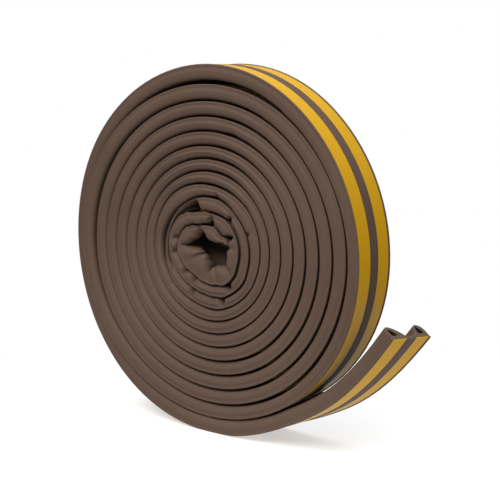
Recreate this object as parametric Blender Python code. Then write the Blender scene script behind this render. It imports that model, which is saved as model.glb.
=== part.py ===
# Self-adhesive double-D rubber seal, coiled on its tread with its free end rising to the right.
# Metres, +Z up. The coil's axis is along Y, over the origin, and the floor is at Z = 0.
import math

import bmesh
import bpy
from mathutils import Vector

# The extruded strip: two hollow Ds side by side on a web.
D_WIDTH = 0.0083
D_HEIGHT = 0.0056
SIDE_HEIGHT = 0.0033
CROWN_WIDTH = 0.0044
WEB_WIDTH = 0.0034
WEB_HEIGHT = 0.0012

# The hollow in each D.
CHAMBER_WIDTH = 0.0028
CHAMBER_CROWN = 0.0016
CHAMBER_HEIGHT = 0.0026
CHAMBER_FLOOR = 0.0007
CHAMBER_DEPTH = 0.060
CUT_PAST_END = 0.0010

# The paper that covers the adhesive on each D's flat back.
LINER_WIDTH = 0.0069
LINER_THICKNESS = 0.00025
LINER_MARGIN = 0.0006
LINER_GAP = 0.0003
LINER_INSET = 0.00005
ADHESIVE = 0.0003

# The coil. The strip is squeezed hard round the core and hardly at all on the last turn.
CORE_RADIUS = 0.00905
CORE_STRIP_HEIGHT = 0.003534
RIM_STRIP_HEIGHT = 0.005352
TURN_CLEARANCE = 0.0003
WHOLE_TURNS = 11
STATIONS_PER_TURN = 20

# The free end leaves the coil straight below its axis.
LEAVING_ANGLE = math.radians(270)

# The last turns stand off the ones under them here and there, or are pressed in.
SIDE_SLACK = 0.0020
TOP_SLACK = 0.0009
PRESSED_IN = 0.0009

# The last turn has slid back on the left.
SIDE_SLIP = 0.0035

# The free end leaves the floor, straightens and turns its back a little to the front.
TAIL_LENGTH = 0.0790
TAIL_FIRST_RADIUS = 0.079
TAIL_LAST_RADIUS = 0.134
TAIL_RISE = math.radians(9)
TAIL_TWIST = math.radians(11)
TAIL_STEPS = 10

STRIP_WIDTH = 2 * D_WIDTH + WEB_WIDTH
RECESS = LINER_INSET + LINER_THICKNESS + ADHESIVE
LAST_TURN = WHOLE_TURNS + LEAVING_ANGLE / (2 * math.pi) - 0.5 / STATIONS_PER_TURN
CORNER_REACH = 1 / math.cos(math.pi / STATIONS_PER_TURN)

BROWN_RUBBER = (0.080, 0.056, 0.043, 1.0)
AMBER_PAPER = (0.60, 0.36, 0.055, 1.0)


def bump(turn, centre, half_span, size):
    distance = abs(turn - centre) / half_span
    if distance >= 1:
        return 0.0
    return size * 0.5 * (1 + math.cos(math.pi * distance))


def lift(turn):
    left = bump(turn, 10.50, 0.22, SIDE_SLACK)
    right = bump(turn, 11.05, 0.15, -PRESSED_IN)
    top = bump(turn, 11.25, 0.14, TOP_SLACK)
    left_again = bump(turn, 11.50, 0.22, SIDE_SLACK)
    return left + right + top + left_again


def slip(turn):
    return bump(turn, 11.51, 0.215, SIDE_SLIP)


def pitch(turn):
    thicker = (RIM_STRIP_HEIGHT - CORE_STRIP_HEIGHT) * turn / LAST_TURN
    return CORE_STRIP_HEIGHT + thicker + TURN_CLEARANCE


def even_radius(turn):
    # The spiral of the strip's flat back, as if no turn were slack.
    return CORE_RADIUS + turn * (pitch(0) + pitch(turn)) / 2


def back_radius(turn):
    return even_radius(turn) + lift(turn)


def strip_height(turn):
    room = even_radius(turn) - even_radius(turn - 1) - TURN_CLEARANCE
    return room + min(0.0, lift(turn) - lift(turn - 1))


def smooth(share):
    share = min(max(share, 0.0), 1.0)
    return share * share * (3 - 2 * share)


class Station:
    # One cross-section of the strip: a point on its back, the way out of it, and the way across it.
    def __init__(self, centre, outward, across, height):
        self.centre = centre
        self.outward = outward
        self.across = across
        self.height = height

    def place(self, side, depth):
        return self.centre + self.across * side - self.outward * depth


def coil_station(turn):
    # The facet between two stations touches the true spiral, so its corners reach past it.
    angle = 2 * math.pi * turn
    outward = Vector((math.cos(angle), 0, math.sin(angle)))
    centre = outward * back_radius(turn) * CORNER_REACH
    centre.y = slip(turn)
    return Station(centre, outward, Vector((0, 1, 0)), strip_height(turn) * CORNER_REACH)


def room_above_coil(point):
    turn = WHOLE_TURNS + (math.atan2(point.z, point.x) / (2 * math.pi)) % 1.0
    return math.hypot(point.x, point.z) - back_radius(turn - 1) * CORNER_REACH - TURN_CLEARANCE


def course(heading):
    return Vector((math.cos(heading), 0, math.sin(heading)))


def tail_heading(run):
    first_bend = 1 / TAIL_FIRST_RADIUS
    last_bend = 1 / TAIL_LAST_RADIUS
    bent = run * (first_bend + (last_bend - first_bend) * run / (2 * TAIL_LENGTH))
    return LEAVING_ANGLE + math.pi / 2 + TAIL_RISE + bent


def tail_stations(last_in_coil):
    # The strip lies flat for one facet where it leaves the coil, then lifts and straightens.
    stations = []
    along = course(LEAVING_ANGLE + math.pi / 2)
    point = last_in_coil - along * (2 * last_in_coil.dot(along))
    step = TAIL_LENGTH / TAIL_STEPS
    for index in range(TAIL_STEPS + 1):
        run = index * step
        outward = course(tail_heading(run) - math.pi / 2)
        twist = TAIL_TWIST * smooth(run / (0.6 * TAIL_LENGTH))
        across = Vector((0, math.cos(twist), 0)) + outward * math.sin(twist)
        facing = outward * math.cos(twist) - Vector((0, math.sin(twist), 0))
        room = room_above_coil(point) - STRIP_WIDTH / 2 * math.sin(twist)
        stations.append(Station(point.copy(), facing, across, min(D_HEIGHT, room)))
        point += course(tail_heading(run + step / 2)) * step
    return stations


def strip_stations():
    count = round(LAST_TURN * STATIONS_PER_TURN + 0.5)
    coil = [coil_station((index + 0.5) / STATIONS_PER_TURN) for index in range(count)]
    tail = tail_stations(coil[-1].centre)
    floor = min(station.centre.z for station in coil)
    for station in coil + tail:
        station.centre.z -= floor
    return coil, tail


def d_outline(front_foot, height):
    # One D over its side walls, from the rear to the front.
    shoulder = SIDE_HEIGHT * height / D_HEIGHT
    middle = front_foot + D_WIDTH / 2
    return [
        (front_foot + D_WIDTH, shoulder),
        (middle + CROWN_WIDTH / 2, height),
        (middle - CROWN_WIDTH / 2, height),
        (front_foot, shoulder),
    ]


def rubber_outline(height):
    # The domes face the coil's centre. Two shallow recesses keep the liners level with the back.
    half = STRIP_WIDTH / 2
    web = [(WEB_WIDTH / 2, WEB_HEIGHT), (-WEB_WIDTH / 2, WEB_HEIGHT)]
    domes = d_outline(WEB_WIDTH / 2, height) + web + d_outline(-half, height)
    lip = half - LINER_MARGIN + LINER_GAP
    band = half - LINER_MARGIN - LINER_WIDTH - LINER_GAP
    recess = [(band, 0), (band, RECESS), (lip, RECESS), (lip, 0)]
    opposite = [(-side, depth) for side, depth in reversed(recess)]
    return [(half, 0)] + domes + [(-half, 0)] + opposite + recess


def liner_outline(side):
    outer = STRIP_WIDTH / 2 - LINER_MARGIN
    inner = outer - LINER_WIDTH
    top = LINER_INSET + LINER_THICKNESS
    edges = [(outer, LINER_INSET), (outer, top), (inner, top), (inner, LINER_INSET)]
    if side > 0:
        return edges
    return [(-along, depth) for along, depth in reversed(edges)]


def chamber_outline(side, height):
    middle = side * (WEB_WIDTH + D_WIDTH) / 2
    floor = RECESS + CHAMBER_FLOOR
    tall = CHAMBER_HEIGHT * height / D_HEIGHT
    return [
        (middle + CHAMBER_WIDTH / 2, floor),
        (middle + CHAMBER_WIDTH / 2, floor + tall / 2),
        (middle + CHAMBER_CROWN / 2, floor + tall),
        (middle - CHAMBER_CROWN / 2, floor + tall),
        (middle - CHAMBER_WIDTH / 2, floor + tall / 2),
        (middle - CHAMBER_WIDTH / 2, floor),
    ]


def sweep(name, stations, outline_at):
    mesh = bpy.data.meshes.new(name)
    body = bmesh.new()
    rings = []
    for station in stations:
        outline = outline_at(station.height)
        rings.append([body.verts.new(station.place(side, depth)) for side, depth in outline])
    for near, far in zip(rings, rings[1:]):
        for corner, start in enumerate(near):
            before = corner - 1
            body.faces.new((near[before], start, far[corner], far[before]))
    caps = [body.faces.new(list(reversed(rings[0]))), body.faces.new(rings[-1])]
    bmesh.ops.triangulate(body, faces=caps)
    bmesh.ops.recalc_face_normals(body, faces=body.faces[:])
    body.to_mesh(mesh)
    body.free()
    thing = bpy.data.objects.new(name, mesh)
    bpy.context.collection.objects.link(thing)
    return thing


def finish(name, colour, roughness):
    material = bpy.data.materials.new(name)
    material.use_nodes = True
    shader = material.node_tree.nodes["Principled BSDF"]
    shader.inputs["Base Color"].default_value = colour
    shader.inputs["Roughness"].default_value = roughness
    shader.inputs["Metallic"].default_value = 0.0
    return material


def make_strip(stations, tail):
    strip = sweep("rubber_strip", stations, rubber_outline)
    for name, side in (("front_chamber", -1), ("rear_chamber", 1)):
        hollow = sweep(name, chamber_stations(tail), lambda height: chamber_outline(side, height))
        hollow.hide_render = True
        hollow.display_type = "WIRE"
        cut = strip.modifiers.new(name, "BOOLEAN")
        cut.operation = "DIFFERENCE"
        cut.solver = "EXACT"
        cut.object = hollow
    strip.data.materials.append(finish("brown rubber", BROWN_RUBBER, 0.62))
    return strip


def chamber_stations(tail):
    # The hollows run in from the cut end, which they pass.
    step = TAIL_LENGTH / TAIL_STEPS
    reach = max(1, min(TAIL_STEPS, round(CHAMBER_DEPTH / step)))
    inside = tail[-1 - reach:]
    end = inside[-1]
    along = end.outward.cross(end.across)
    if along.dot(end.centre - inside[-2].centre) < 0:
        along = -along
    beyond = Station(end.centre + along * CUT_PAST_END, end.outward, end.across, end.height)
    return inside + [beyond]


def make_liner(name, stations, side):
    liner = sweep(name, stations, lambda height: liner_outline(side))
    liner.data.materials.append(finish(name.replace("_", " "), AMBER_PAPER, 0.48))
    return liner


def shade(thing):
    thing.data.shade_smooth()
    thing.data.set_sharp_from_angle(angle=math.radians(35))


def main():
    for thing in list(bpy.data.objects):
        bpy.data.objects.remove(thing, do_unlink=True)
    coil, tail = strip_stations()
    stations = coil + tail
    shade(make_strip(stations, tail))
    shade(make_liner("front_release_liner", stations, -1))
    shade(make_liner("rear_release_liner", stations, 1))


main()
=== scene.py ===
# A coil of self-adhesive double-D rubber seal, on its tread with its free end to the right.
# Metres, +Z up. The coil's axis runs along Y above the origin, and its front face looks to -Y.
import math

import bpy
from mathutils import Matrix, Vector, noise


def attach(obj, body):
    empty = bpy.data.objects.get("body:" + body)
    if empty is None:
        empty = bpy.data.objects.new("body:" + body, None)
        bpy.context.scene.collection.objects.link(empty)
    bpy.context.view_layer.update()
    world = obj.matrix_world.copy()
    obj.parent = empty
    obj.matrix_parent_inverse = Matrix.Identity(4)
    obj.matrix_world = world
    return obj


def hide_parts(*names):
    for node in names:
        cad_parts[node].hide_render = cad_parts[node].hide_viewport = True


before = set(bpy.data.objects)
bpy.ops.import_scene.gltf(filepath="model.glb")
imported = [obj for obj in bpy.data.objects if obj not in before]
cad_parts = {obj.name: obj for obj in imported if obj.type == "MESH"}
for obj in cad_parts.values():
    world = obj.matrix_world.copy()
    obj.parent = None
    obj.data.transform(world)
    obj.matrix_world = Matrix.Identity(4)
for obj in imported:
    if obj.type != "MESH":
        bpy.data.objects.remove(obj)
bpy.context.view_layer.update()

mm = 0.001


def smooth(share):
    share = min(max(share, 0.0), 1.0)
    return share * share * (3 - 2 * share)


def rising(value, start, span):
    return smooth((value - start) / span)


def falling(value, end, span):
    return smooth((end - value) / span)


def hump(turn, centre, halfSpan, size):
    distance = abs(turn - centre) / halfSpan
    if distance >= 1:
        return 0.0
    return size * 0.5 * (1 + math.cos(math.pi * distance))


def readAlong(pairs, turn):
    # a smooth line through (turn, value) pairs
    if turn <= pairs[0][0]:
        return pairs[0][1]
    for (near, low), (far, high) in zip(pairs, pairs[1:]):
        if turn <= far:
            return low + (high - low) * smooth((turn - near) / (far - near))
    return pairs[-1][1]


# How the strip is wound. Turns are counted from the inner end, anticlockwise from +X.
# A pair of numbers says where a change starts or ends, and over what length.
coil = {
    "coreRadius": 9.05 * mm,
    "coreHeight": 3.534 * mm,
    "rimHeight": 5.352 * mm,
    "clearance": 0.3 * mm,
    "domeGap": 0.4 * mm,       # between the domes and the paper that they face
    "outerGap": 0.15 * mm,     # the same on the last turns
    "outerFrom": (10.3, 0.3),
    "innerEnd": 0.05,
    "evensOut": (3.4, 0.4),
    "crumpledTo": 3.8,         # the spiral is even from here on
    "touchdown": 11.75,
    "restsOn": 11.725,         # the CAD coil stands on the facet before the touchdown
    "wobble": 0.10 * mm,
    "wobblesPerTurn": 2.1,
    "steadyOver": 2,           # turns before the touchdown
    "sideWobble": 0.30 * mm,
    "sideWobblesPerTurn": 1.7,
    "swayEnds": (11.4, 0.6),
    "slidBack": (11.51, 0.215, 3.5 * mm),  # on the left: turn, half its span, how far
    "thinnest": 1.5 * mm,
    "floorClear": 0.00002,     # of the strip's back
    "lowest": 0.00001,         # of any point
    "coreSlice": 0.5,          # millimetres along the strip
    "moreSlice": 2.9,
    "slicesGrow": (3.2, 1.8),
    "lastGap": 0.004,          # least part of a turn before the touchdown
}

# the crumpled core: the radius of the strip's back, by turn
coreBack = [
    (0.05, 9.0), (0.075, 8.8), (0.122, 7.4), (0.219, 8.1), (0.32, 8.7), (0.38, 10.9),
    (0.40, 12.0), (0.44, 12.8), (0.47, 13.4), (0.52, 13.8), (0.56, 12.6), (0.66, 11.0),
    (0.72, 11.5), (0.79, 12.3), (0.84, 13.6), (0.89, 13.6), (0.95, 13.0), (1.05, 13.0),
    (1.14, 13.0), (1.22, 12.6), (1.28, 13.0), (1.32, 13.7), (1.36, 15.6), (1.39, 16.6),
    (1.43, 17.1), (1.47, 17.5), (1.53, 17.2), (1.57, 16.5), (1.61, 15.7), (1.68, 15.3),
    (1.73, 15.5), (1.77, 16.2), (1.82, 17.2), (1.91, 17.8), (1.95, 17.4), (2.0, 17.3),
    (2.12, 17.1), (2.22, 17.9), (2.32, 18.2), (2.42, 18.5), (2.50, 18.9), (2.56, 19.5),
    (2.61, 20.0), (2.69, 19.6), (2.80, 20.8), (2.91, 21.5), (3.1, 22.2), (3.2, 21.9),
    (3.39, 23.8), (3.8, 24.9),
]
# the hole in the middle: how far in the first turn's domes reach
coreHole = [
    (0.05, 7.9), (0.104, 4.1), (0.153, 3.0), (0.242, 2.8), (0.306, 4.0), (0.325, 6.4),
    (0.362, 7.0), (0.41, 6.6), (0.457, 8.3), (0.491, 9.9), (0.499, 7.4), (0.509, 5.2),
    (0.547, 3.6), (0.648, 3.0), (0.727, 4.5), (0.751, 6.4), (0.815, 5.9), (0.875, 7.2),
    (0.91, 8.0), (0.993, 7.3), (1.06, 8.1),
]
# where the hollow strip has kinked: turn, depth, and how far the kink opens before and after it
creases = [
    (0.318, 1.6, 1.4, 1.8), (0.495, 1.2, 1.3, 1.6), (0.575, 0.7, 1.2, 1.8),
    (0.745, 1.3, 1.8, 1.4), (0.80, 0.6, 1.2, 1.2), (0.89, 1.3, 1.6, 1.6), (1.02, 0.5, 1.0, 1.0),
    (1.075, 1.7, 1.2, 1.8), (1.23, 2.1, 1.2, 2.2), (1.47, 1.2, 1.1, 1.1), (1.52, 1.3, 1.1, 1.4),
    (1.61, 1.1, 0.9, 0.9), (1.667, 1.0, 0.9, 0.9), (1.845, 2.2, 1.0, 1.4),
    (2.14, 1.1, 0.9, 0.9), (2.30, 3.1, 0.7, 6.0), (2.68, 1.1, 0.8, 0.8), (2.80, 2.1, 0.9, 0.9),
    (3.06, 0.9, 0.8, 0.8), (3.22, 0.8, 0.8, 0.8), (3.61, 0.7, 0.7, 0.7), (3.69, 0.6, 0.7, 0.7),
    (4.12, 0.7, 0.7, 0.7), (8.21, 0.5, 0.9, 0.9), (9.16, 0.7, 0.9, 1.2), (11.16, 0.8, 0.9, 1.2),
]


def pitch(turn):
    thicker = (coil["rimHeight"] - coil["coreHeight"]) * turn / coil["restsOn"]
    return coil["coreHeight"] + thicker + coil["clearance"]


def evenRadius(turn):
    return coil["coreRadius"] + turn * (pitch(0) + pitch(turn)) / 2


# where the last turns stand off the ones under them, or are pressed in:
# turn, half its span, millimetres
standOffs = [(10.50, 0.22, 2.0), (11.05, 0.15, -0.9), (11.25, 0.14, 0.9), (11.50, 0.22, 2.0)]

# the middle turns have sunk a little at the top
settled = {"depth": 0.65 * mm, "from": (4.5, 1.5), "until": (10.6, 0.8)}


def lift(turn):
    return sum(hump(turn, place, halfSpan, far * mm) for place, halfSpan, far in standOffs)


def settling(turn):
    overhead = max(0.0, math.sin(2 * math.pi * turn)) ** 2
    sunk = settled["depth"] * overhead * rising(turn, *settled["from"])
    return -sunk * falling(turn, *settled["until"])


def backRadius(turn):
    unsteady = coil["wobble"] * noise.noise(Vector((turn * coil["wobblesPerTurn"], 0.0, 3.0)))
    unsteady *= falling(turn, coil["touchdown"], coil["steadyOver"])
    even = evenRadius(turn) + lift(turn) + settling(turn) + unsteady
    if turn > coil["crumpledTo"]:
        return even
    atEnd = readAlong(coreBack, coil["crumpledTo"]) * mm
    return readAlong(coreBack, turn) * mm + (even - atEnd) * rising(turn, *coil["evensOut"])


def evenHeight(turn):
    room = evenRadius(turn) - evenRadius(turn - 1) - coil["clearance"]
    return room + min(0.0, lift(turn) - lift(turn - 1))


# where the domes stand off the turn inside, on the lower right of each turn
slack = {
    "gap": 0.5,                # millimetres
    "laterGap": 0.4,           # added on the last turns
    "laterFrom": (10.2, 0.4),
    "from": (6, 2),
    "until": (11.3, 0.3),
    "middle": 0.87,            # of a turn
    "pocket": (3.48, 0.15, 1.7 * mm),
}
# how far in the domes of the crumpled turns can reach
reachIn = {"core": 7.0 * mm, "spare": 0.2 * mm, "evensOutFrom": 3.3}


def domeRadius(turn):
    # the domes press on the turn inside, or reach in to the hole
    if turn < coreHole[-1][0]:
        return readAlong(coreHole, turn) * mm
    closer = coil["outerGap"] - coil["domeGap"]
    apart = coil["domeGap"] + closer * rising(turn, *coil["outerFrom"])
    loose = (slack["gap"] + slack["laterGap"] * rising(turn, *slack["laterFrom"])) * mm
    loose *= rising(turn, *slack["from"])
    loose *= max(0.0, math.cos(2 * math.pi * (turn - slack["middle"]))) ** 2
    loose *= falling(turn, *slack["until"])
    pressed = backRadius(turn - 1) + apart + loose + hump(turn, *slack["pocket"])
    reach = reachIn["core"]
    if turn > reachIn["evensOutFrom"]:
        evened = smooth(turn - reachIn["evensOutFrom"])
        reach += (evenHeight(turn) + reachIn["spare"] - reach) * evened
    return max(pressed, backRadius(turn) - reach)


# how sharp a kink is, and how far it draws in the front face round it
kinks = {
    "sharpness": 1.6,
    "coreUntil": 3,
    "coreDraw": 0.5,           # millimetres, and a share of the kink's depth
    "coreDrawShare": 0.6,
    "drawShare": 0.5,
    "drawReach": 1.5 * mm,
}
# where the front face has slipped back: millimetres, and the turns where it starts and ends
setBacks = [(1.9, (2.29, 0.02), (2.60, 0.06)), (3.0, (2.292, 0.01), (2.38, 0.06))]


def creaseAt(turn):
    # how deep the dome is kinked here, and how far the front face is drawn in
    reach = 2 * math.pi * backRadius(turn)
    kink = 0.0
    valley = 0.0
    for place, depth, before, after in creases:
        away = (turn - place) * reach
        opening = (after if away > 0 else before) * mm
        if abs(away) < opening:
            kink = max(kink, depth * mm * (1 - abs(away) / opening) ** kinks["sharpness"])
        drawnIn = kinks["drawShare"] * depth
        if place < kinks["coreUntil"]:
            drawnIn = kinks["coreDraw"] + kinks["coreDrawShare"] * depth
        valley = max(valley, drawnIn * mm * hump(away, 0.0, opening + kinks["drawReach"], 1.0))
    setBack = 0.0
    for far, start, end in setBacks:
        setBack += far * mm * rising(turn, *start) * falling(turn, *end)
    return kink, valley + setBack


# The strip's own section.
section = {
    "dWidth": 8.3 * mm,
    "dHeight": 5.6 * mm,
    "fullDome": 5.6,           # the height that the two Ds below are drawn at, in millimetres
    "fullBase": 4.0 * mm,      # a D thinner than this has a thinner base too
    "webWidth": 3.4 * mm,
    "webHeight": 1.2 * mm,
    "webCorner": 0.1 * mm,
    "webCornerShare": 0.04,
    "linerWidth": 6.9 * mm,
    "linerMargin": 0.6 * mm,
    "rearMargin": 0.95 * mm,
    "linerGap": 0.12 * mm,
    "linerThick": 0.2 * mm,
    "linerInset": 0.05 * mm,
    "underLiner": 0.1 * mm,    # the adhesive
    "bulge": 0.4 * mm,         # of a D's side when it is pressed flat
    "bulgeTop": 1.2,
    "footHolds": 0.25,         # how much of the front's drawing in reaches the foot
    "cutHollow": 18,           # slices that the hollows run in from the cut end
    "innerHollow": 6,
}
halfStrip = section["dWidth"] + section["webWidth"] / 2


# Each point is millimetres in from the strip's side, fixed depth in millimetres,
# and share of the height.
frontLip = [
    (0.46, 0.0, 0.0), (0.28, 0.06, 0.0), (0.16, 0.20, 0.0), (0.12, 0.44, 0.0),
    (0.30, 0.84, 0.0), (0.27, 1.12, 0.0),
]
rearLip = [
    (0.36, -0.26, 0.0), (0.12, -0.20, 0.0), (0.02, 0.04, 0.0), (0.02, 0.44, 0.0),
    (0.20, 0.84, 0.0), (0.14, 1.12, 0.0),
]
# the two Ds as they come, millimetres in from the side and up from the back
looseFront = [
    (0.04, 2.0), (0.01, 2.35), (0.0, 2.7), (0.06, 3.4), (0.30, 4.1), (0.75, 4.75), (1.4, 5.25),
    (2.2, 5.53), (3.0, 5.6), (3.8, 5.38), (4.6, 4.85), (5.4, 4.1), (6.2, 3.25), (6.9, 2.45),
    (7.5, 1.8), (8.1, 1.35),
]
looseRear = [
    (0.04, 2.0), (0.01, 2.35), (0.0, 2.7), (0.06, 3.4), (0.30, 4.1), (0.75, 4.75), (1.4, 5.25),
    (2.2, 5.53), (3.0, 5.6), (3.8, 5.35), (4.5, 4.85), (5.1, 4.15), (5.6, 3.3), (6.0, 2.5),
    (6.7, 1.8), (7.9, 1.35),
]
# a D pressed flat in the coil, with a tight corner or a soft one
pressedTight = [
    (0.16, 0.95, 0.14), (0.05, 0.62, 0.32), (0.0, 0.30, 0.50), (0.04, -1.15, 1.0),
    (0.10, -0.66, 1.0), (0.18, -0.36, 1.0), (0.30, -0.16, 1.0), (0.48, -0.05, 1.0),
    (0.75, 0.0, 1.0), (1.6, 0.0, 1.0), (3.6, 0.0, 1.0), (5.8, 0.0, 1.0), (6.9, -0.04, 1.0),
    (7.5, -0.35, 1.0), (7.9, -1.0, 1.0), (8.15, 1.2, 0.05),
]
pressedSoft = [
    (0.16, 0.95, 0.14), (0.04, 0.62, 0.28), (0.0, 0.30, 0.40), (0.07, -1.75, 1.0),
    (0.22, -1.20, 1.0), (0.44, -0.78, 1.0), (0.76, -0.45, 1.0), (1.15, -0.22, 1.0),
    (1.6, -0.08, 1.0), (2.3, 0.0, 1.0), (3.8, 0.0, 1.0), (5.6, 0.0, 1.0), (6.6, -0.10, 1.0),
    (7.3, -0.45, 1.0), (7.8, -1.1, 1.0), (8.15, 1.2, 0.05),
]
# the hollow that shows in each D's cut end
frontHollow = [
    (1.75, 2.0), (2.3, 1.75), (3.2, 1.75), (4.0, 1.8), (4.45, 2.1), (4.1, 2.7), (3.4, 3.6),
    (2.8, 4.3), (2.3, 4.6), (1.9, 4.4), (1.7, 3.7), (1.65, 2.8),
]
rearHollow = [
    (1.8, 2.1), (2.3, 1.85), (3.2, 1.8), (4.1, 1.85), (4.5, 2.2), (4.4, 3.0), (4.1, 3.9),
    (3.7, 4.6), (3.3, 4.85), (2.9, 4.6), (2.4, 3.8), (2.0, 2.9),
]


def asIs(points):
    return [(inset, 0.0, height / section["fullDome"]) for inset, height in points]


def onSide(direction, points):
    return [
        (direction * (halfStrip - inset * mm), fixed * mm, share)
        for inset, fixed, share in points
    ]


def recess(direction, margin):
    # the shallow recess that holds one paper
    depth = section["linerInset"] + section["linerThick"] + section["underLiner"]
    edge = direction * (halfStrip - margin + section["linerGap"])
    width = section["linerWidth"] + section["linerGap"]
    band = direction * (halfStrip - section["linerMargin"] - width)
    return [(edge, 0.0, 0.0), (edge, depth, 0.0), (band, depth, 0.0), (band, 0.0, 0.0)]


def rubberSection(rearDome, frontDome):
    # from the rear lip over both Ds to the front lip, and back along the recesses
    corner = section["webWidth"] / 2 - section["webCorner"]
    low = section["webHeight"]
    share = section["webCornerShare"]
    web = [(corner, low, share), (0.0, low, 0.0), (-corner, low, share)]
    rear = onSide(1, rearLip + rearDome)
    front = onSide(-1, frontLip + frontDome)
    frontRecess = recess(-1, section["linerMargin"])
    rearRecess = recess(1, section["rearMargin"])
    return rear + web + list(reversed(front)) + frontRecess + list(reversed(rearRecess))


relaxed = rubberSection(asIs(looseRear), asIs(looseFront))
squeezedTight = rubberSection(pressedTight, pressedTight)
squeezedSoft = rubberSection(pressedSoft, pressedSoft)


def depthAt(fixed, share, height):
    return fixed * min(1.0, height / section["fullBase"]) + share * height


def flatPoint(point):
    side, fixed, share = point
    return side, depthAt(fixed, share, section["dHeight"])


# How hard each turn is pressed flat.
squeezing = {
    "starts": (0.85, 0.4),
    "innerShare": 0.3,
    "ends": (12.1, 0.7),
    "softSwing": 1.6,          # corners are tight on the right of each turn and soft on the left
    "softPhase": 0.1,
    "softCore": (3.5, 1),
    "rearFills": 4.3,          # from this turn the rear D fills its room
    "rearTallest": 1.25,
}

# Inside the coil the papers' outer edges have crept in, most of all on the core. Millimetres.
creeping = {"slip": 4.5, "coreSlip": 1.6, "coreUntil": (3.9, 0.4), "until": (10.74, 0.05)}

# The free end.
tail = {
    "length": 78.6 * mm,
    "firstRadius": 79.0 * mm,
    "lastRadius": 134.0 * mm,
    "rise": math.radians(9),
    "twist": math.radians(11),
    "twistEasing": 0.7,
    "sag": 1.1 * mm,
    "sagFrom": (22 * mm, 27 * mm),
    "sagLost": 0.8,
    "sagLostFrom": (50 * mm, 29 * mm),
    "flatHalf": 10.1 * mm,     # half the stretch that lies flat on the floor
    "softening": 8.0 * mm,
    "endLean": 0.4 * mm,
    "leanOver": 34.0 * mm,
    "softness": 0.5,
    "slice": 1.25 * mm,
}

# The rear D of the free end stands up to the coil where it is close.
rearD = {
    "swell": 0.7,
    "swellUntil": (39 * mm, 14 * mm),
    "tallest": 1.7,
    "least": 3 * mm,
    "inFromSide": 3 * mm,
    "touching": 0.08 * mm,
    "tryStep": 0.1 * mm,
}


def tailHeading(run):
    firstBend = 1 / tail["firstRadius"]
    lastBend = 1 / tail["lastRadius"]
    past = max(run, 0.0)
    bent = past * (firstBend + (lastBend - firstBend) * past / (2 * tail["length"]))
    lifting = smooth((run + tail["softening"]) / (2 * tail["softening"]))
    return tail["rise"] * lifting + bent


def station(centre, outward, across, height, rearHeight, squeeze, softness, valley, fromEnd):
    return {
        "centre": centre, "outward": outward, "across": across, "height": height,
        "rearHeight": rearHeight, "squeeze": squeeze, "softness": softness, "valley": valley,
        "fromEnd": fromEnd, "paperSlip": 0.0,
    }


def placeOn(spot, side, depth):
    return spot["centre"] + spot["across"] * side - spot["outward"] * depth


axisHeight = evenRadius(coil["restsOn"])


def squeezeAt(turn):
    share = squeezing["innerShare"]
    share += (1 - share) * rising(turn, *squeezing["starts"])
    return falling(turn, *squeezing["ends"]) * share


def softnessAt(turn, angle):
    leftward = 0.5 - math.cos(angle + squeezing["softPhase"])
    soft = smooth(0.5 + squeezing["softSwing"] * leftward)
    return max(soft, falling(turn, *squeezing["softCore"]))


def coilStation(turn):
    angle = 2 * math.pi * turn
    outward = Vector((math.cos(angle), 0.0, math.sin(angle)))
    radius = backRadius(turn)
    kink, valley = creaseAt(turn)
    centre = outward * radius + Vector((0, 0, axisHeight))
    centre.z = max(centre.z, coil["floorClear"])
    centre.y = hump(turn, *coil["slidBack"])
    sway = 0.5 + 0.5 * noise.noise(Vector((turn * coil["sideWobblesPerTurn"], 5.0, 0.0)))
    centre.y += coil["sideWobble"] * sway * falling(turn, *coil["swayEnds"])
    height = max(radius - domeRadius(turn) - kink, coil["thinnest"])
    rearHeight = height
    if turn > squeezing["rearFills"]:
        tallest = squeezing["rearTallest"] * section["dHeight"]
        rearHeight = min(radius - backRadius(turn - 1), tallest)
    across = Vector((0, 1, 0))
    squeeze = squeezeAt(turn)
    softness = softnessAt(turn, angle)
    spot = station(centre, outward, across, height, rearHeight, squeeze, softness, valley, 1.0)
    slip = creeping["slip"] + creeping["coreSlip"] * falling(turn, *creeping["coreUntil"])
    spot["paperSlip"] = slip * mm * falling(turn, *creeping["until"])
    return spot


def roomAboveCoil(point):
    # round the coil from +X, on the turn that starts at 11
    turn = 11 + (math.atan2(point.z - axisHeight, point.x) / (2 * math.pi)) % 1.0
    return math.hypot(point.x, point.z - axisHeight) - backRadius(turn - 1) - coil["clearance"]


def rearRoom(point, across, facing):
    # how tall the rear D can stand before it meets the coil
    foot = point + across * (halfStrip - rearD["inFromSide"])
    height = rearD["least"]
    tallest = rearD["tallest"] * section["dHeight"]
    touching = rearD["touching"] - coil["clearance"]
    while height < tallest and roomAboveCoil(foot - facing * height) > touching:
        height += rearD["tryStep"]
    return height


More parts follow.
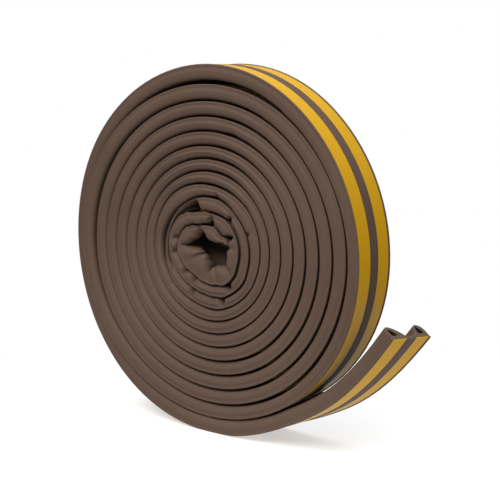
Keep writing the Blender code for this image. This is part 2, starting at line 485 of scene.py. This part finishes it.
def tailStations():
    spots = []
    run = -tail["flatHalf"]
    point = Vector((0.0, 0.0, coil["floorClear"]))
    while run < tail["length"]:
        stride = min(tail["slice"], tail["length"] - run)
        course = tailHeading(run + stride / 2)
        point += Vector((math.cos(course), 0, math.sin(course))) * stride
        run += stride
        heading = tailHeading(run)
        outward = Vector((math.sin(heading), 0, -math.cos(heading)))
        twist = tail["twist"] * (max(0.0, run) / tail["length"]) ** tail["twistEasing"]
        centre = point.copy()
        sagging = rising(run, *tail["sagFrom"])
        sagging *= 1 - tail["sagLost"] * rising(run, *tail["sagLostFrom"])
        centre.z -= tail["sag"] * sagging
        across = Vector((0, math.cos(twist), 0)) + outward * math.sin(twist)
        facing = outward * math.cos(twist) - Vector((0, math.sin(twist), 0))
        room = roomAboveCoil(centre) - halfStrip * math.sin(twist)
        height = min(section["dHeight"], room)
        swollen = section["dHeight"] * (1 + rearD["swell"] * falling(run, *rearD["swellUntil"]))
        rearHeight = min(rearRoom(centre, across, facing), swollen)
        squeeze = squeezeAt(coil["touchdown"] + run / (2 * math.pi * axisHeight))
        fromEnd = tail["length"] - run
        spots.append(station(
            centre, facing, across, height, rearHeight, squeeze, tail["softness"], 0.0, fromEnd,
        ))
        if stride < tail["slice"]:
            break
    return spots


def sliceLength(turn):
    return (coil["coreSlice"] + coil["moreSlice"] * rising(turn, *coil["slicesGrow"])) * mm


def windStations():
    spots = []
    turn = coil["innerEnd"]
    while turn < coil["touchdown"] - coil["lastGap"]:
        spots.append(coilStation(turn))
        turn += sliceLength(turn) / (2 * math.pi * evenRadius(turn))
    spots.append(coilStation(coil["touchdown"]))
    spots += tailStations()
    along = 0.0
    for before, spot in zip([spots[0]] + spots, spots):
        along += (spot["centre"] - before["centre"]).length
        spot["along"] = along
    return spots


stations = windStations()
sliceStep = 1.0 * mm           # the straight strip's slices, before it is wound
print("stations on the strip:", len(stations), "length", round(stations[-1]["along"], 3))


def stationOf(vertex):
    slot = round(vertex.co.x / sliceStep)
    return stations[min(max(slot, 0), len(stations) - 1)]


# Working in edit mode.
def chosen(piece):
    bpy.ops.object.select_all(action="DESELECT")
    piece.select_set(True)
    bpy.context.view_layer.objects.active = piece


def applyModifiers(piece):
    chosen(piece)
    for modifier in list(piece.modifiers):
        bpy.ops.object.modifier_apply(modifier=modifier.name)


def repeatAlongX(piece, count):
    array = piece.modifiers.new("slices", "ARRAY")
    array.use_relative_offset = False
    array.use_constant_offset = True
    array.constant_offset_displace = (sliceStep, 0, 0)
    array.count = count
    array.use_merge_vertices = True
    array.merge_threshold = 0.00001
    applyModifiers(piece)


def straightStrip():
    # a ring set to the strip's section, drawn out by one slice and repeated
    bpy.ops.object.select_all(action="DESELECT")
    bpy.ops.mesh.primitive_circle_add(vertices=len(relaxed), radius=0.01, fill_type="NOTHING")
    piece = bpy.context.object
    piece.name = "rubber_strip_wound"
    codeOf = piece.data.attributes.new("sectionPoint", "INT", "POINT")
    for index, vertex in enumerate(piece.data.vertices):
        side, depth = flatPoint(relaxed[index])
        vertex.co = (0, side, depth)
        codeOf.data[index].value = index
    chosen(piece)
    bpy.ops.object.mode_set(mode="EDIT")
    bpy.ops.mesh.select_all(action="SELECT")
    bpy.ops.mesh.extrude_edges_move(TRANSFORM_OT_translate={"value": (sliceStep, 0, 0)})
    bpy.ops.object.mode_set(mode="OBJECT")
    repeatAlongX(piece, len(stations) - 1)
    return piece


def selectWhere(piece, wanted):
    bpy.ops.object.mode_set(mode="OBJECT")
    for polygon in piece.data.polygons:
        polygon.select = False
    for edge in piece.data.edges:
        edge.select = False
    for vertex in piece.data.vertices:
        vertex.select = bool(wanted(vertex.co))
    bpy.ops.object.mode_set(mode="EDIT")
    bpy.ops.mesh.select_mode(type="VERT")


# section points of the hollows carry a code from here up
frontHollowCode = 1000
rearHollowCode = 1500


def closeEnd(piece, atX, inward, slices):
    # the cut face with its two hollows, each run in a little way and closed
    oneSlice = {"value": (inward * sliceStep, 0, 0)}
    for middle in (-1, 1):
        outline = hollowOutline(middle)
        firstCode = rearHollowCode if middle > 0 else frontHollowCode
        bpy.ops.mesh.select_all(action="DESELECT")
        bpy.ops.mesh.primitive_circle_add(
            vertices=len(outline), radius=0.001, location=(atX, 0, 0.05),
        )
        bpy.ops.object.mode_set(mode="OBJECT")
        fresh = [vertex for vertex in piece.data.vertices if vertex.select]
        codeOf = piece.data.attributes["sectionPoint"]
        for index, vertex in enumerate(fresh):
            side, depth = flatPoint(outline[index])
            vertex.co = (atX, side, depth)
            codeOf.data[vertex.index].value = firstCode + index
        bpy.ops.object.mode_set(mode="EDIT")
        for step in range(slices):
            bpy.ops.mesh.extrude_edges_move(TRANSFORM_OT_translate=oneSlice)
        bpy.ops.mesh.edge_face_add()
    selectWhere(piece, lambda place: abs(place.x - atX) < sliceStep / 4)
    bpy.ops.mesh.fill(use_beauty=True)
    bpy.ops.mesh.select_all(action="DESELECT")


def hollowOutline(middle):
    return onSide(middle, asIs(rearHollow if middle > 0 else frontHollow))


def chamberPoint(code):
    if code >= rearHollowCode:
        return hollowOutline(1)[code - rearHollowCode]
    return hollowOutline(-1)[code - frontHollowCode]


def aroundLengths():
    lengths = [0.0]
    for before, after in zip(relaxed, relaxed[1:]):
        first = Vector(flatPoint(before))
        lengths.append(lengths[-1] + (Vector(flatPoint(after)) - first).length)
    closing = Vector(flatPoint(relaxed[0])) - Vector(flatPoint(relaxed[-1]))
    return lengths, lengths[-1] + closing.length


def layOutUv(piece, around, girth):
    # metres along the strip and round its section, before it is wound
    layer = piece.data.uv_layers.new(name="strip")
    for polygon in piece.data.polygons:
        vertices = [piece.data.loops[index].vertex_index for index in polygon.loop_indices]
        values = [around[vertex] for vertex in vertices]
        widest = max(values)
        for index, vertex, value in zip(polygon.loop_indices, vertices, values):
            if widest - value > girth / 2:
                value += girth
            layer.data[index].uv = (stationOf(piece.data.vertices[vertex])["along"], value)


def woundRubber(spot, point):
    side, fixed, share = point
    height = spot["rearHeight"] if side > 0 else spot["height"]
    depth = depthAt(fixed, share, height)
    pressed = max(0.0, 1 - height / section["dHeight"])
    bulge = section["bulge"] * pressed * math.sin(math.pi * min(share * section["bulgeTop"], 1.0))
    side += math.copysign(bulge, side) * (abs(side) / halfStrip) ** 3
    if side < 0:
        drawn = spot["valley"] * min(1.0, section["footHolds"] + share) * min(1.0, depth / mm)
        side += drawn * abs(side) / halfStrip
    leaning = tail["endLean"] * smooth(1 - spot["fromEnd"] / tail["leanOver"])
    side -= leaning * share * share
    return placeOn(spot, side, depth)


def woundPaper(spot, side, inset):
    width = section["linerWidth"]
    fromInner = (abs(side) - halfStrip + section["linerMargin"] + width) / width
    creep = spot["paperSlip"] * max(0.0, fromInner)
    height = spot["rearHeight"] if side > 0 else spot["height"]
    return placeOn(spot, side - math.copysign(creep, side), depthAt(inset, 0.0, height))


def mixedPoint(index, squeeze, softness):
    loose = relaxed[index]
    tight = squeezedTight[index]
    soft = squeezedSoft[index]
    pressed = tuple(a + (b - a) * softness for a, b in zip(tight, soft))
    return tuple(a + (b - a) * squeeze for a, b in zip(loose, pressed))


def windStrip(piece):
    codeOf = piece.data.attributes["sectionPoint"]
    for vertex in piece.data.vertices:
        spot = stationOf(vertex)
        code = codeOf.data[vertex.index].value
        if code >= frontHollowCode:
            point = chamberPoint(code)
        else:
            point = mixedPoint(code, spot["squeeze"], spot["softness"])
        vertex.co = woundRubber(spot, point)
        vertex.co.z = max(vertex.co.z, coil["lowest"])


sharpFrom = math.radians(38)


def makeRubber():
    piece = straightStrip()
    chosen(piece)
    bpy.ops.object.mode_set(mode="EDIT")
    last = max(vertex.co.x for vertex in piece.data.vertices)
    closeEnd(piece, last, -1, section["cutHollow"])
    closeEnd(piece, 0.0, 1, section["innerHollow"])
    bpy.ops.object.mode_set(mode="OBJECT")
    lengths, girth = aroundLengths()
    codes = [item.value for item in piece.data.attributes["sectionPoint"].data]
    layOutUv(piece, [lengths[code] if code < frontHollowCode else 0.0 for code in codes], girth)
    # the skin, the two cut faces, which still face along X here, and the hollows, whose walls get a
    # near-black painted shade
    finishOf = []
    for polygon in piece.data.polygons:
        inHollow = all(codes[vertex] >= frontHollowCode for vertex in polygon.vertices)
        finishOf.append(2 if inHollow else 1 if abs(polygon.normal.x) > 0.9 else 0)
    windStrip(piece)
    chosen(piece)
    bpy.ops.object.mode_set(mode="EDIT")
    bpy.ops.mesh.select_all(action="SELECT")
    bpy.ops.mesh.normals_make_consistent(inside=False)
    bpy.ops.object.mode_set(mode="OBJECT")
    bpy.ops.object.shade_smooth_by_angle(angle=sharpFrom)
    piece.data.materials.append(rubberSkin())
    piece.data.materials.append(rubberCut("brown_rubber_cut", finishes["cut"]))
    # the hollows' material is painted shade: near-black rubber where the inside of the hollows is
    # in shade
    piece.data.materials.append(rubberCut("brown_rubber_hollow_painted_shade", finishes["hollow"]))
    for polygon, finish in zip(piece.data.polygons, finishOf):
        polygon.material_index = finish
    return piece


def straightLiner(name, side):
    inner = halfStrip - section["linerMargin"] - section["linerWidth"]
    outer = halfStrip - section["rearMargin" if side > 0 else "linerMargin"]
    bpy.ops.object.select_all(action="DESELECT")
    bpy.ops.mesh.primitive_grid_add(x_subdivisions=1, y_subdivisions=4, size=2, location=(0, 0, 0))
    piece = bpy.context.object
    piece.name = name
    for vertex in piece.data.vertices:
        across = inner + (outer - inner) * (0.5 + 0.5 * vertex.co.y)
        along = sliceStep if vertex.co.x > 0 else 0.0
        vertex.co = (along, side * across, section["linerInset"])
    if side > 0:
        chosen(piece)
        bpy.ops.object.mode_set(mode="EDIT")
        bpy.ops.mesh.select_all(action="SELECT")
        bpy.ops.mesh.flip_normals()
        bpy.ops.object.mode_set(mode="OBJECT")
    repeatAlongX(piece, len(stations) - 1)
    return piece


def makeLiner(name, side):
    piece = straightLiner(name, side)
    layOutUv(piece, [vertex.co.y for vertex in piece.data.vertices], 1.0)
    for vertex in piece.data.vertices:
        vertex.co = woundPaper(stationOf(vertex), vertex.co.y, vertex.co.z)
        vertex.co.z = max(vertex.co.z, coil["lowest"])
    film = piece.modifiers.new("film", "SOLIDIFY")
    film.thickness = section["linerThick"]
    film.offset = -1
    applyModifiers(piece)
    bpy.ops.object.shade_smooth_by_angle(angle=sharpFrom)
    piece.data.materials.append(releasePaper())
    return piece


# Finishes.
finishes = {
    "rubber": {
        "dark": (0.060, 0.036, 0.025, 1), "light": (0.081, 0.051, 0.036, 1),
        "roughness": 0.66, "ior": 1.4, "specular": 0.2, "between": (0.3, 0.7),
        "patches": 28.0, "streaks": (9, 1500, 1), "grain": 2600.0,
        "colourShares": (0.55, 0.45), "bumpShares": (0.6, 0.4), "bump": (0.35, 0.00006),
    },
    "cut": {
        "dark": (0.046, 0.033, 0.023, 1), "light": (0.088, 0.065, 0.047, 1),
        "roughness": 0.8, "ior": 1.3, "specular": 0.1, "between": (0.36, 0.58),
        "cells": 2200.0, "bump": (0.5, 0.00012),
    },
    # the hollows' walls: the same rubber painted near black, as painted shade for the dark inside
    # of the hollows
    "hollow": {
        "dark": (0.010, 0.007, 0.005, 1), "light": (0.016, 0.012, 0.009, 1),
        "roughness": 0.85, "ior": 1.3, "specular": 0.1, "between": (0.36, 0.58),
        "cells": 2200.0, "bump": (0.5, 0.00012),
    },
    "paper": {
        "dark": (0.355, 0.182, 0.001, 1), "light": (0.455, 0.258, 0.003, 1),
        "roughness": 0.42, "ior": 1.3, "specular": 0.15, "between": (0.34, 0.66),
        "clouds": (260, 420, 1), "fibres": (900, 2600, 1),
        "colourShares": (0.6, 0.4), "bump": (0.2, 0.00004),
        "sheen": 0.12, "sheenRoughness": 0.25, "sheenTint": (0.9, 1.0, 0.85, 1),
    },
    "floor": {"roughness": 0.9, "ior": 1.2, "specular": 0.0},
}


def freshMaterial(name, look):
    material = bpy.data.materials.new(name)
    material.use_nodes = True
    shader = material.node_tree.nodes["Principled BSDF"]
    shader.inputs["Roughness"].default_value = look["roughness"]
    shader.inputs["IOR"].default_value = look["ior"]
    shader.inputs["Specular IOR Level"].default_value = look["specular"]
    return material, material.node_tree, shader


def noiseFrom(tree, coordinates, scale, stretch=(1, 1, 1), detail=3.0, roughness=0.5):
    mapping = tree.nodes.new("ShaderNodeMapping")
    mapping.inputs["Scale"].default_value = stretch
    tree.links.new(coordinates, mapping.inputs["Vector"])
    grain = tree.nodes.new("ShaderNodeTexNoise")
    grain.inputs["Scale"].default_value = scale
    grain.inputs["Detail"].default_value = detail
    grain.inputs["Roughness"].default_value = roughness
    tree.links.new(mapping.outputs["Vector"], grain.inputs["Vector"])
    return grain.outputs["Fac"]


def together(tree, first, second, shares):
    left = tree.nodes.new("ShaderNodeMath")
    left.operation = "MULTIPLY"
    left.inputs[1].default_value = shares[0]
    tree.links.new(first, left.inputs[0])
    right = tree.nodes.new("ShaderNodeMath")
    right.operation = "MULTIPLY_ADD"
    right.inputs[1].default_value = shares[1]
    tree.links.new(second, right.inputs[0])
    tree.links.new(left.outputs[0], right.inputs[2])
    return right.outputs[0]


def colourFrom(tree, shader, value, look):
    ramp = tree.nodes.new("ShaderNodeValToRGB")
    ramp.color_ramp.elements[0].position = look["between"][0]
    ramp.color_ramp.elements[0].color = look["dark"]
    ramp.color_ramp.elements[1].position = look["between"][1]
    ramp.color_ramp.elements[1].color = look["light"]
    tree.links.new(value, ramp.inputs["Fac"])
    tree.links.new(ramp.outputs["Color"], shader.inputs["Base Color"])


def bumpFrom(tree, shader, value, look):
    bump = tree.nodes.new("ShaderNodeBump")
    bump.inputs["Strength"].default_value = look["bump"][0]
    bump.inputs["Distance"].default_value = look["bump"][1]
    tree.links.new(value, bump.inputs["Height"])
    tree.links.new(bump.outputs["Normal"], shader.inputs["Normal"])


def rubberSkin():
    look = finishes["rubber"]
    material, tree, shader = freshMaterial("brown_rubber_skin", look)
    coordinates = tree.nodes.new("ShaderNodeTexCoord")
    patches = noiseFrom(tree, coordinates.outputs["Object"], look["patches"], detail=2.0)
    streaks = noiseFrom(tree, coordinates.outputs["UV"], 1.0, stretch=look["streaks"])
    grain = noiseFrom(tree, coordinates.outputs["Object"], look["grain"], detail=2.0)
    colourFrom(tree, shader, together(tree, patches, streaks, look["colourShares"]), look)
    bumpFrom(tree, shader, together(tree, grain, streaks, look["bumpShares"]), look)
    return material


def rubberCut(name, look):
    material, tree, shader = freshMaterial(name, look)
    coordinates = tree.nodes.new("ShaderNodeTexCoord")
    cells = noiseFrom(
        tree, coordinates.outputs["Object"], look["cells"], detail=4.0, roughness=0.7,
    )
    colourFrom(tree, shader, cells, look)
    bumpFrom(tree, shader, cells, look)
    return material


def releasePaper():
    look = finishes["paper"]
    material, tree, shader = freshMaterial("amber_release_paper", look)
    shader.inputs["Sheen Weight"].default_value = look["sheen"]
    shader.inputs["Sheen Roughness"].default_value = look["sheenRoughness"]
    shader.inputs["Sheen Tint"].default_value = look["sheenTint"]
    coordinates = tree.nodes.new("ShaderNodeTexCoord")
    alongPaper = coordinates.outputs["UV"]
    clouds = noiseFrom(tree, alongPaper, 1.0, stretch=look["clouds"], detail=4.0)
    fibres = noiseFrom(tree, alongPaper, 1.0, stretch=look["fibres"], roughness=0.7)
    colourFrom(tree, shader, together(tree, clouds, fibres, look["colourShares"]), look)
    bumpFrom(tree, shader, fibres, look)
    return material


# The pieces.
rubber = makeRubber()
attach(rubber, "root")
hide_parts("rubber_strip")
print("rubber strip wound:", len(rubber.data.polygons), "faces")

for name, side in (("front_liner_wound", -1), ("rear_liner_wound", 1)):
    liner = makeLiner(name, side)
    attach(liner, "root")
    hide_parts("front_release_liner" if side < 0 else "rear_release_liner")
print("release liners wound")


# The studio.
studio = {
    "cameraAt": (0.22914, -0.29813, 0.12240),
    "tiltDown": 8.919,
    "turnLeft": 36.194,
    "lens": 78.3,
    "floorColour": (0.42, 0.42, 0.42, 1),
    "floorSize": 0.28,
    "floorDrop": -0.0001,
    "floorGlow": 0.5,
    "sky": 1.0,
    "skyDim": (0.16, 0.15, 0.16, 1),
    "skyBrightFrom": 0.75,
    "key": 4.2,                # watts
    "keyAt": (0.02, -0.38, 0.48),
    "keySize": 0.34,
    "keyAim": (0, 0, 0.07),
    "sunSpread": 60,
    "top": 1.5,
    "topFrom": (0.10, 0.10, 1.0),
    "side": 0.7,
    "sideFrom": (0.95, -0.20, 0.35),
}
white = (1, 1, 1, 1)


def makeFloor():
    bpy.ops.object.select_all(action="DESELECT")
    bpy.ops.mesh.primitive_plane_add(size=studio["floorSize"], location=(0, 0, studio["floorDrop"]))
    floor = bpy.context.object
    floor.name = "studio_floor"
    material, tree, shader = freshMaterial("white_paper_floor", finishes["floor"])
    shader.inputs["Base Color"].default_value = studio["floorColour"]
    shader.inputs["Emission Color"].default_value = white
    shader.inputs["Emission Strength"].default_value = studio["floorGlow"]
    floor.data.materials.append(material)


def softSun(name, strength, towards):
    lamp = bpy.data.lights.new(name, "SUN")
    lamp.energy = strength
    lamp.angle = math.radians(studio["sunSpread"])
    light = bpy.data.objects.new(name, lamp)
    light.rotation_euler = Vector(towards).to_track_quat("Z", "Y").to_euler()
    bpy.context.collection.objects.link(light)


def softBox(name, power, size, place):
    lamp = bpy.data.lights.new(name, "AREA")
    lamp.energy = power
    lamp.size = size
    light = bpy.data.objects.new(name, lamp)
    light.location = place
    away = Vector(place) - Vector(studio["keyAim"])
    light.rotation_euler = away.to_track_quat("Z", "Y").to_euler()
    bpy.context.collection.objects.link(light)


def studioAir():
    # the room is bright overhead and dim at eye level, and the backdrop is white
    world = bpy.data.worlds.new("studio_air")
    world.use_nodes = True
    tree = world.node_tree
    room = tree.nodes["Background"]
    room.inputs["Strength"].default_value = studio["sky"]
    coordinates = tree.nodes.new("ShaderNodeTexCoord")
    split = tree.nodes.new("ShaderNodeSeparateXYZ")
    tree.links.new(coordinates.outputs["Generated"], split.inputs["Vector"])
    ramp = tree.nodes.new("ShaderNodeValToRGB")
    ramp.color_ramp.elements[0].position = 0.0
    ramp.color_ramp.elements[0].color = studio["skyDim"]
    ramp.color_ramp.elements[1].position = studio["skyBrightFrom"]
    ramp.color_ramp.elements[1].color = white
    tree.links.new(split.outputs["Z"], ramp.inputs["Fac"])
    tree.links.new(ramp.outputs["Color"], room.inputs["Color"])
    backdrop = tree.nodes.new("ShaderNodeBackground")
    backdrop.inputs["Color"].default_value = white
    seen = tree.nodes.new("ShaderNodeLightPath")
    mix = tree.nodes.new("ShaderNodeMixShader")
    tree.links.new(seen.outputs["Is Camera Ray"], mix.inputs["Fac"])
    tree.links.new(room.outputs["Background"], mix.inputs[1])
    tree.links.new(backdrop.outputs["Background"], mix.inputs[2])
    tree.links.new(mix.outputs["Shader"], tree.nodes["World Output"].inputs["Surface"])
    bpy.context.scene.world = world


makeFloor()
softBox("key_light", studio["key"], studio["keySize"], studio["keyAt"])
softSun("top_light", studio["top"], studio["topFrom"])
softSun("side_light", studio["side"], studio["sideFrom"])
studioAir()
bpy.context.scene.view_settings.view_transform = "Standard"

lens = bpy.data.cameras.new("product_camera")
lens.lens = studio["lens"]
lens.sensor_width = 36.0
lens.clip_start = 0.01
camera = bpy.data.objects.new("product_camera", lens)
camera.location = studio["cameraAt"]
camera.rotation_euler = (math.radians(90 - studio["tiltDown"]), 0, math.radians(studio["turnLeft"]))
bpy.context.collection.objects.link(camera)
bpy.context.scene.camera = camera
print("studio ready")
